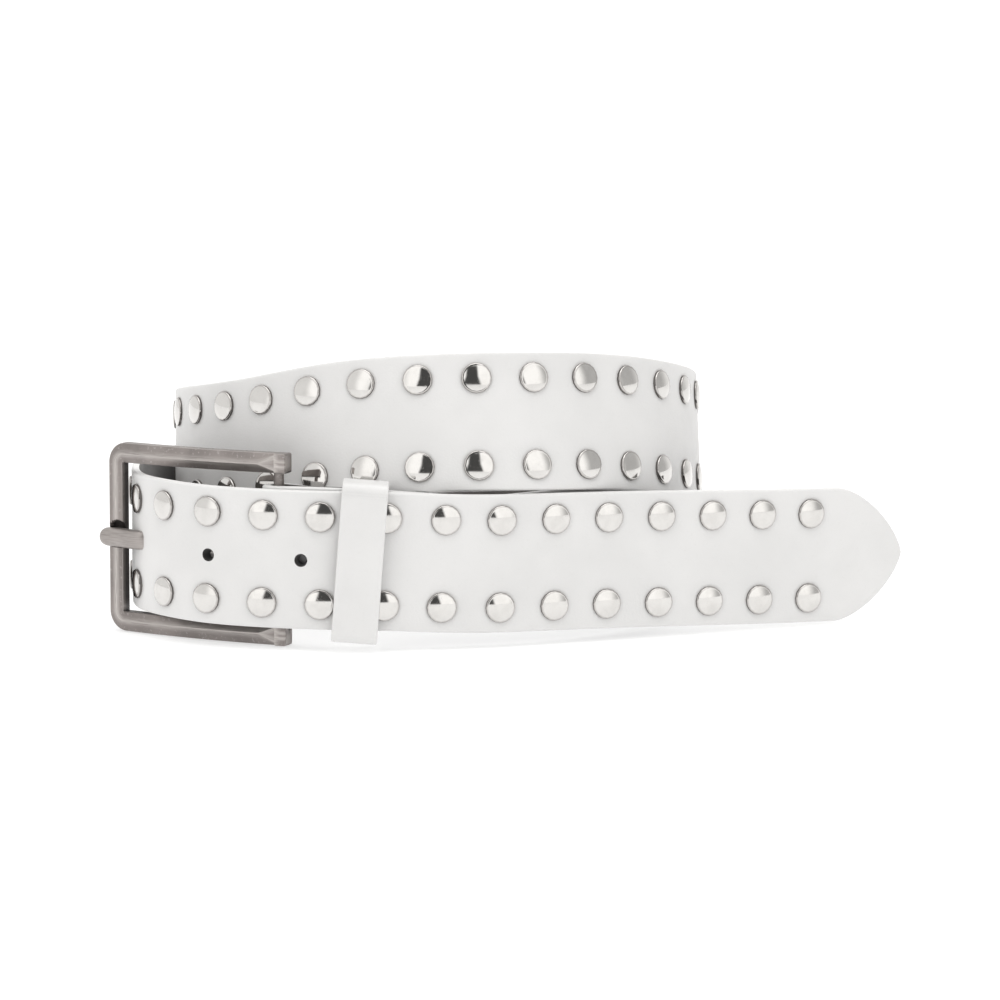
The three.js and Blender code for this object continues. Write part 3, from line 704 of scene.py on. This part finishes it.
# ---- Buckle frame ----
# Cast and tumbled, antique nickel finish: a bowed open frame with a crowned face, square end blocks
# that hold the bar, a sloping facet where each arm meets its block, and a notch for the prong.
frame_height = 0.056
arm_height = 0.0059
left_bar_width = 0.0052
block_length = 0.0034
block_end = 0.003
block_depth = 0.0054
corner_radius = 0.0056
facet_length = 0.0052
block_round = 0.0006
notch_radius = prong_radius + seat
notch_spread = 0.0020
notch_middle = 0.0552
notch_half_width = 0.0025


def buckle_point(a, u, o):
    """World point of buckle coordinates: a from the bar to the left, u up the bar, o out of the face, which falls back
    with the square of a."""
    share = np.maximum(a, 0) / frame_reach
    lowered = o - bow_depth * share ** 2
    return prong_axis - buckle_right * a[..., None] + bar_up * u[..., None] + buckle_face * lowered[..., None]


def rounded_end(distance, radius):
    """How far a face draws in near an end that is rounded with this radius."""
    near = np.clip(distance, 0, radius)
    return radius - np.sqrt(np.maximum(radius ** 2 - (radius - near) ** 2, 0))


def frame_stations():
    """Middle line of the upper half of the frame, from the end block along the arm, round the corner and down the left
    bar to the middle: a, u, direction, width, depth, and how far each section is an arm's, a left bar's and facet."""
    arm_line = (frame_height - arm_height) / 2
    bend = corner_radius - left_bar_width / 2
    arm_start, arm_end = block_length - block_end + 0.0002, frame_reach - bend
    block = np.array([0, 0.0001, 0.0003, 0.0006, block_length / 2, block_length]) - block_end
    facet = np.linspace(arm_start, arm_start + facet_length, 12)
    arm = np.linspace(facet[-1], arm_end, 28)[1:]
    angle = np.linspace(90, 0, 15)[1:]
    bar = np.concatenate([np.linspace(arm_line - bend, 0.0058, 14)[1:], np.linspace(0.0058, 0, 30)[1:]])
    turn = np.radians(angle)
    straight = len(block) + len(facet) + len(arm)
    a = np.concatenate([block, facet, arm, arm_end + bend * np.cos(turn), np.full(len(bar), frame_reach)])
    u = np.concatenate([np.full(straight, arm_line), arm_line - bend + bend * np.sin(turn), bar])
    facing = np.concatenate([np.full(straight, 90.0), angle, np.zeros(len(bar))])
    ease = np.concatenate([np.zeros(straight), 1 - angle / 90, np.ones(len(bar))])
    width = arm_height + (left_bar_width - arm_height) * ease
    is_block = np.concatenate([np.ones(len(block)), np.zeros(len(a) - len(block))])
    depth = frame_depth + (block_depth - frame_depth) * is_block
    inset = np.where(is_block > 0, rounded_end(a + block_end, block_round), 0)
    hewn = np.clip(1 - (a - arm_start) / facet_length, 0, 1)
    return a, u, np.radians(facing), width - 2 * inset, depth - 2 * inset, 1 - is_block, ease, hewn


def frame_section(width, depth, arm, bar, hewn):
    """Section as a closed row of points: x across from -1 inside to 1 outside, o from -1 at the back to 1 at the front.
    An arm is a gable whose ridge is cut by a flat of depth d, so the flat's sides lie d over the gable's slopes
    from the ridge. A left bar is flat with bevelled edges, and a block flat with small ones."""
    ridge, eaves, fall = -0.10, 0.94, 0.42
    cut = 0.03 + 0.32 * hewn
    left = ridge - cut * (eaves + ridge) / fall
    right = ridge + cut * (eaves - ridge) / fall
    one = np.ones_like(cut)
    gable_x = [-one, -one, -0.985 * one, -eaves * one, (left - eaves) / 2, left, ridge * one, right,
               (right + eaves) / 2, eaves * one, 0.985 * one, one, one]
    gable_o = [-0.3 * one, 0.34 * one, 0.48 * one, (1 - fall) * one, (2 - fall - cut) / 2, 1 - cut, 1 - cut, 1 - cut,
               (2 - fall - cut) / 2, (1 - fall) * one, 0.46 * one, 0.30 * one, -0.4 * one]
    bar_x = np.array([-1, -1, -0.97, -0.84, -0.6, -0.3, -0.05, 0.2, 0.5, 0.86, 0.96, 1, 1])
    bar_o = np.array([-0.3, 0.62, 0.80, 0.97, 0.99, 1, 1, 1, 0.99, 0.93, 0.80, 0.6, -0.4])
    block_o = np.array([-0.3, 0.80, 0.94, 1, 1, 1, 1, 1, 1, 1, 0.94, 0.80, -0.4])
    back_x = np.array([1, 0.97, 0.85, 0.4, 0, -0.4, -0.85, -0.97])
    back_o = np.array([-0.7, -0.92, -1, -1, -1, -1, -1, -0.92])
    flat_share = np.where(arm > 0, bar, 1)[:, None]
    plain_o = np.where(arm[:, None] > 0, bar_o, block_o)
    front_x = np.stack(gable_x, axis=1) * (1 - flat_share) + bar_x * flat_share
    front_o = np.stack(gable_o, axis=1) * (1 - flat_share) + plain_o * flat_share
    across = np.hstack([front_x, np.repeat(back_x[None], len(width), axis=0)]) * width[:, None] / 2
    front = np.hstack([front_o, np.repeat(back_o[None], len(width), axis=0)]) * depth[:, None] / 2
    return across, front


def buckle_frame_piece():
    """The section carried along the middle line of the upper half, mirrored for the lower half, with the notch for the
    prong as a round groove in the left bar that widens upwards as half a circle."""
    a, u, facing, width, depth, arm, bar, hewn = (
        np.concatenate([part, part[-2::-1] * (-1 if mirrored else 1)])
        for part, mirrored in zip(frame_stations(), (False, True, True, False, False, False, False, False)))
    across, o = frame_section(width, depth, arm, bar, hewn)
    long_a = a[:, None] + across * np.cos(facing)[:, None]
    tall_u = u[:, None] + across * np.sin(facing)[:, None]
    spread = notch_spread * np.sqrt(np.clip(1 - ((long_a - notch_middle) / notch_half_width) ** 2, 0, 1))
    beside = tall_u - np.clip(tall_u, 0, spread)
    groove = prong_rest * long_a / frame_reach - np.sqrt(np.maximum(notch_radius ** 2 - beside ** 2, 0))
    groove = groove + bow_depth * (np.maximum(long_a, 0) / frame_reach) ** 2
    in_groove = (np.abs(beside) < notch_radius) & (long_a > frame_reach * 0.9) & (groove < o)
    o = np.where(in_groove, groove, o)
    points = buckle_point(long_a, tall_u, o)
    rings, around = o.shape
    index = np.arange(rings * around).reshape(rings, around)
    wrapped = np.column_stack([index, index[:, :1]])
    faces = grid_faces(wrapped, np.ones((rings - 1, around), bool))
    run = np.concatenate([[0], np.cumsum(np.hypot(np.diff(a), np.diff(u)))])
    girth = np.linspace(0, 0.018, around)
    uv = np.column_stack([np.repeat(run, around), np.tile(girth, rings)])
    # Ridge marks lighten the frame: partly rubbed bright wear, partly painted highlight on the edges and facet lines
    # that catch the light.
    ridge = np.zeros(o.shape)
    ridge[:, [2, 5, 6, 7, 10]] = (0.8, 0.6, 1.0, 0.6, 0.7)
    ridge[:, 5] += 0.4 * hewn
    ridge[:, 6] *= 1 - hewn
    ridge[:, 7] += 0.4 * hewn
    ridge[:, 2:10][np.abs(a - block_length + block_end) < 0.0003] = 1
    # Painted shade: the frame's inner side walls, and the notch where the prong lies, are marked to go near black as
    # the shade they stand in.
    hollow = np.zeros(o.shape)
    hollow[:, [0, 1, -1]] = (1.0, 0.5, 1.0)
    hollow = np.maximum(hollow, 0.8 * in_groove)
    return points.reshape(-1, 3), faces, index, uv, ridge.ravel(), hollow.ravel()


def antique_nickel():
    """Antique nickel: warm grey, brushed along the arms, lighter on ridges and edges, partly rubbed bright and partly
    painted highlight, and near black as painted shade on the frame's inner sides and in the prong's notch.
    """
    made, tree, shader = new_material("antique_nickel", (0.27, 0.243, 0.231), 0.42, 0.8)
    surface = surface_of(tree)
    drawn = node(tree, "ShaderNodeMapping", {"Vector": surface, "Scale": (1.0, 22.0, 1.0)}).outputs[0]
    brushed = noise(tree, drawn, 210.0, 4.0).outputs["Fac"]
    around = node(tree, "ShaderNodeTexCoord").outputs["Object"]
    wear = use_group(tree, wear_group, around, Hairlines=1300.0)
    clouds = noise(tree, around, 95.0, 4.0).outputs["Fac"]
    tone = tint(tree, between(tree, clouds, 0.35, 0.68, 0.0, 1.0), (0.295, 0.265, 0.252), (0.23, 0.207, 0.197))
    # Lighter on the marked ridges and edges: partly rubbed wear, partly painted highlight.
    ridge = mark_of(tree, "ridge")
    rubbed_and_highlight = times(tree, ridge, between(tree, brushed, 0.3, 0.62, 0.25, 0.9))
    rubbed_and_highlight = times(tree, rubbed_and_highlight, times(tree, wear.outputs["Scratches"], 0.35), "MAXIMUM")
    bright = tint(tree, rubbed_and_highlight, tone, (0.58, 0.545, 0.52))
    # Painted shade, near black, on the inner sides and in the notch.
    hollow = mark_of(tree, "hollow")
    darkening = between(tree, hollow, 0.45, 0.95, 0.0, 0.88)
    tree.links.new(tint(tree, darkening, bright, (0.035, 0.031, 0.03)), shader.inputs["Base Color"])
    rough = times(tree, between(tree, brushed, 0.25, 0.75, 0.34, 0.50), times(tree, rubbed_and_highlight, 0.08), "SUBTRACT")
    tree.links.new(rough, shader.inputs["Roughness"])
    bump(tree, shader, brushed, 0.000022)
    return made


dull_nickel = antique_nickel()
points, faces, index, uv, ridge, hollow = buckle_frame_piece()
buckle = add_piece("buckle_frame_cast", points, [*faces.tolist(), index[0].tolist(), index[-1, ::-1].tolist()],
                   uv, crease=14, ridge=ridge, hollow=hollow)
buckle.data.materials.append(dull_nickel)
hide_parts("buckle_frame")
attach(buckle, "root")

# ---- Buckle bar ----
# A straight steel pin in the same finish. It is driven into a blind hole in each end block, and the
# folded strap and the prong's eye turn on it.
bar_hole_depth = 0.0025
bar_length = frame_height - 2 * arm_height + 2 * (bar_hole_depth - seat)


def turned_piece(name, stations_along, sides, rubbed_and_highlight=0.0):
    """Body about a line: rings about each station, closed by a face at both ends. A ring's reach in the direction v is
    the radius over (|cos v|^n + |sin v|^n)^(1/n), a circle for n = 2 and squarer for a higher n."""
    angle = np.arange(sides) * 2 * np.pi / sides
    rings = []
    for middle, side, other, radius, power in stations_along:
        reach = radius / (np.abs(np.cos(angle)) ** power + np.abs(np.sin(angle)) ** power) ** (1 / power)
        rings.append(middle + reach[:, None] * (side * np.cos(angle)[:, None] + other * np.sin(angle)[:, None]))
    rings = np.array(rings)
    index = np.arange(rings.shape[0] * sides).reshape(-1, sides)
    wrapped = np.column_stack([index, index[:, :1]])
    faces = grid_faces(wrapped, np.ones((len(rings) - 1, sides), bool))
    middles = np.array([station[0] for station in stations_along])
    run = np.concatenate([[0], np.cumsum(np.linalg.norm(np.diff(middles, axis=0), axis=1))])
    uv = np.column_stack([np.repeat(run, sides), np.tile(angle * 0.0025, len(rings))])
    faces = [*faces.tolist(), index[0].tolist(), index[-1, ::-1].tolist()]
    return add_piece(name, rings.reshape(-1, 3), faces, uv, ridge=np.full(len(uv), rubbed_and_highlight))


bar_ends = [(-bar_length / 2, 0.8), (0.0003 - bar_length / 2, 1.0), (-0.012, 1.0), (0.0, 1.0), (0.012, 1.0),
            (bar_length / 2 - 0.0003, 1.0), (bar_length / 2, 0.8)]
bar = turned_piece("buckle_bar_pin", [(prong_axis + bar_up * u, buckle_face, buckle_right, bar_radius * share, 2)
                                      for u, share in bar_ends], 24)
bar.data.materials.append(dull_nickel)
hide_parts("buckle_bar")
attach(bar, "root")

# ---- Prong ----
# A round steel prong from the bar. It comes through a hole of the strap and rests
# in the frame's notch with its tip rounded over the left bar.
prong_course = np.array([
    # distance from the bar and out of the face (millimetres), radius share, roundness of the section (2 is round)
    (2.9, 0.0, 0.80, 2.0), (10, -0.8, 0.88, 2.0), (24, -2.2, 0.92, 3.0), (36, -6.0, 0.92, 5.0), (40.6, -7.9, 0.94, 6.0),
    (42.1, -6.4, 0.96, 6.0), (43.0, -4.6, 0.98, 5.5), (44.1, -3.1, 1.00, 4.5), (45.9, -2.35, 1.00, 3.8),
    (48.4, -2.65, 1.00, 3.2), (51, -3.5, 1.00, 2.7), (54, -4.5, 1.00, 2.4), (56.6, -5.15, 1.00, 2.2),
    (58.4, -5.5, 0.97, 2.0), (59.6, -5.7, 0.82, 2.0), (60.25, -5.8, 0.58, 2.0), (60.5, -5.86, 0.30, 2.0),
])


def prong_stations():
    """Stations of the prong: a smooth curve through its course, each ring square to the slope of the curve."""
    share = np.linspace(0, 1, 90)
    knots_of_prong = np.linspace(0, 1, len(prong_course))
    curve = smooth_through(knots_of_prong, prong_course)(share)
    middle = prong_axis + (-buckle_right * curve[:, :1] + buckle_face * curve[:, 1:2]) / 1000
    slope = unit(np.gradient(middle, axis=0))
    side = unit(np.cross(slope, bar_up))
    other = np.cross(side, slope)
    radius = prong_radius * np.maximum(curve[:, 2], 0.05)
    return list(zip(middle, side, other, radius, np.maximum(curve[:, 3], 2)))


# The whole prong carries a ridge mark of 0.45, so it is lighter all over: partly rubbed wear, partly painted highlight.
prong = turned_piece("buckle_prong", prong_stations(), 24, rubbed_and_highlight=0.45)
prong.data.materials.append(dull_nickel)
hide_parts("prong")
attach(prong, "root")

# ---- Keeper ----
# A loop of the same white leather, 13 mm wide, closed round both layers of the
# strap and the folded end.
keeper_width = 0.0132
keeper_thickness = 0.0018
keeper_height = 0.046
keeper_place = 0.0245
keeper_drop = 0.0006
keeper_tilt = np.radians(1.4)
keeper_corner = 0.0013
keeper_edge_round = 0.00045
stud_room = 0.0012


def loop_outline(front, behind, half_height, radius):
    """Closed outline of a rounded rectangle as points and outward normals, with even steps on its straight sides and
    a quarter circle at each corner."""
    turn = np.linspace(0, np.pi / 2, 9)
    corners = [(front - radius, half_height - radius), (-behind + radius, half_height - radius),
               (-behind + radius, radius - half_height), (front - radius, radius - half_height)]
    points, normals = [], []
    for quarter, (x, y) in enumerate(corners):
        angle = turn + quarter * np.pi / 2
        arc = np.column_stack([x + radius * np.cos(angle), y + radius * np.sin(angle)])
        following = corners[(quarter + 1) % 4]
        start = np.array(following) + radius * np.array([np.cos(angle[-1]), np.sin(angle[-1])])
        side = arc[-1] + (start - arc[-1]) * np.linspace(0, 1, 26)[1:-1, None]
        points += [arc, side]
        normals += [np.column_stack([np.cos(angle), np.sin(angle)]),
                    np.repeat([[np.cos(angle[-1]), np.sin(angle[-1])]], len(side), axis=0)]
    return np.vstack(points), np.vstack(normals)


def keeper_piece():
    """The outline at the middle of the leather, carried across the width, with a rounded rectangle as its section."""
    origin, along, up, out = (rows[0] for rows in strap_frame(keeper_place))
    front = layer + strap_thickness / 2 + stud_room + 2 * seat + keeper_thickness / 2
    behind = strap_thickness / 2 + fold_pared + 3 * seat + keeper_thickness / 2
    outline, normal = loop_outline(front, behind, (keeper_height - keeper_thickness) / 2, keeper_corner)
    section, _ = loop_outline(keeper_width / 2, keeper_width / 2, keeper_thickness / 2, keeper_edge_round)
    middle = origin + up * (strap_width / 2 - keeper_drop)
    along, up = (along * np.cos(keeper_tilt) - up * np.sin(keeper_tilt),
                 up * np.cos(keeper_tilt) + along * np.sin(keeper_tilt))
    outward = normal[:, :1] * out + normal[:, 1:] * up
    foot = middle + outline[:, :1] * out + outline[:, 1:] * up
    points = foot[:, None] + section[None, :, 1:] * outward[:, None] - section[None, :, :1] * along
    index = np.arange(len(outline) * len(section)).reshape(len(outline), -1)
    wrapped = np.vstack([np.column_stack([index, index[:, :1]]), np.append(index[0], index[0, 0])])
    faces = grid_faces(wrapped, np.ones((len(outline), len(section)), bool))
    run = np.concatenate([[0], np.cumsum(np.linalg.norm(np.diff(outline, axis=0), axis=1))])
    uv = np.column_stack([np.repeat(run, len(section)), np.tile(section[:, 0], len(outline))])
    return add_piece("keeper_loop", points.reshape(-1, 3), faces.tolist(), uv)


keeper = keeper_piece()
keeper.data.materials.append(white_leather("keeper_leather", on_strap=False))
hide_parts("keeper")
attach(keeper, "root")

# ---- Photo stand ----
# A plain pale floor, lit from below as a light table, a pale surround, and soft light from above. The
# darker patch is the gap between two softboxes, which the studs mirror.
floor_mesh = bpy.data.meshes.new("floor")
floor_mesh.from_pydata([(-9, -9, 0), (9, -9, 0), (9, 9, 0), (-9, 9, 0)], [], [(0, 1, 2, 3)])
floor = bpy.data.objects.new("floor", floor_mesh)
bpy.context.scene.collection.objects.link(floor)
pale, _, glow = new_material("pale_floor", (0.52, 0.52, 0.52), 0.9)
glow.inputs["Emission Color"].default_value = (1, 1, 1, 1)
glow.inputs["Emission Strength"].default_value = 0.58
glow.inputs["Specular IOR Level"].default_value = 0.1
floor_mesh.materials.append(pale)


def soft_surround():
    """Surround by direction: pale, brighter to the right, with a soft-edged dark patch behind the camera."""
    world = bpy.data.worlds.new("surround")
    bpy.context.scene.world = world
    world.use_nodes = True
    tree = world.node_tree
    direction = node(tree, "ShaderNodeTexCoord").outputs["Generated"]
    parts = node(tree, "ShaderNodeSeparateXYZ", {0: direction})
    azimuth = times(tree, parts.outputs[0], times(tree, parts.outputs[1], -1.0), "ARCTAN2")
    round_right = between(tree, azimuth, np.radians(50), np.radians(75), 1.45, 0.62)
    round_left = between(tree, azimuth, np.radians(-62), np.radians(-42), -0.45, 0.0)
    round_back = between(tree, azimuth, np.radians(105), np.radians(140), 0.0, 0.4)
    low = node(tree, "ShaderNodeMapRange", {"Value": parts.outputs[2], "From Min": 0.0, "From Max": 0.33,
                                            "To Min": 1.0, "To Max": 0.0}).outputs[0]
    left_edge = times(tree, times(tree, low, np.radians(-6)), np.radians(17), "SUBTRACT")
    right_edge = times(tree, times(tree, low, np.radians(6)), np.radians(13), "ADD")
    gap_left = between(tree, times(tree, azimuth, left_edge, "SUBTRACT"), -0.06, 0.06, 0.0, 1.0)
    gap_right = between(tree, times(tree, right_edge, azimuth, "SUBTRACT"), -0.06, 0.06, 0.0, 1.0)
    gap_floor = between(tree, parts.outputs[2], -0.02, 0.04, 0.0, 1.0)
    gap_top = between(tree, parts.outputs[2], 0.66, 0.80, 1.0, 0.0)
    gap = times(tree, times(tree, gap_left, gap_right), times(tree, gap_floor, gap_top))
    round_all = times(tree, times(tree, round_right, round_left, "ADD"), round_back, "ADD")
    level = times(tree, round_all, times(tree, 1.0, times(tree, gap, 0.94), "SUBTRACT"))
    seen = node(tree, "ShaderNodeLightPath").outputs["Is Camera Ray"]
    shown = node(tree, "ShaderNodeMix", {0: seen, 2: level, 3: 1.2}, data_type="FLOAT").outputs[0]
    background = tree.nodes["Background"]
    tree.links.new(shown, background.inputs["Strength"])
    background.inputs["Color"].default_value = (1.0, 0.995, 0.985, 1)


def softbox(name, place, aim, size, power):
    """A square area light aimed at a point."""
    light = bpy.data.lights.new(name, "AREA")
    light.shape = "SQUARE"
    light.size = size
    light.energy = power
    stand = bpy.data.objects.new(name, light)
    bpy.context.scene.collection.objects.link(stand)
    back = unit(np.array(place) - np.array(aim))
    side = unit(np.cross((0, 0, 1), back)) if abs(back[2]) < 0.99 else np.array((1.0, 0, 0))
    top = np.cross(back, side)
    matrix = np.eye(4)
    matrix[:3, 0], matrix[:3, 1], matrix[:3, 2], matrix[:3, 3] = side, top, back, place
    stand.matrix_world = matrix.T.tolist()


soft_surround()
softbox("top_softbox", (0.1, 0.0, 1.5), (0, 0, 0), 1.4, 9.0)

camera_data = bpy.data.cameras.new("camera")
camera = bpy.data.objects.new("camera", camera_data)
bpy.context.scene.collection.objects.link(camera)
camera_elevation = np.radians(7)
camera_distance = 1.2
camera_target = np.array([-0.0011, -0.0842, 0.0439])
camera_side = np.array([0, -np.cos(camera_elevation), np.sin(camera_elevation)])
camera.location = camera_target + camera_distance * camera_side
camera.rotation_euler = (np.pi / 2 - camera_elevation, 0, 0)
camera_data.sensor_width = 36
camera_data.lens = 151.2
camera_data.clip_end = 50
bpy.context.scene.camera = camera
bpy.context.scene.view_settings.view_transform = "Standard"
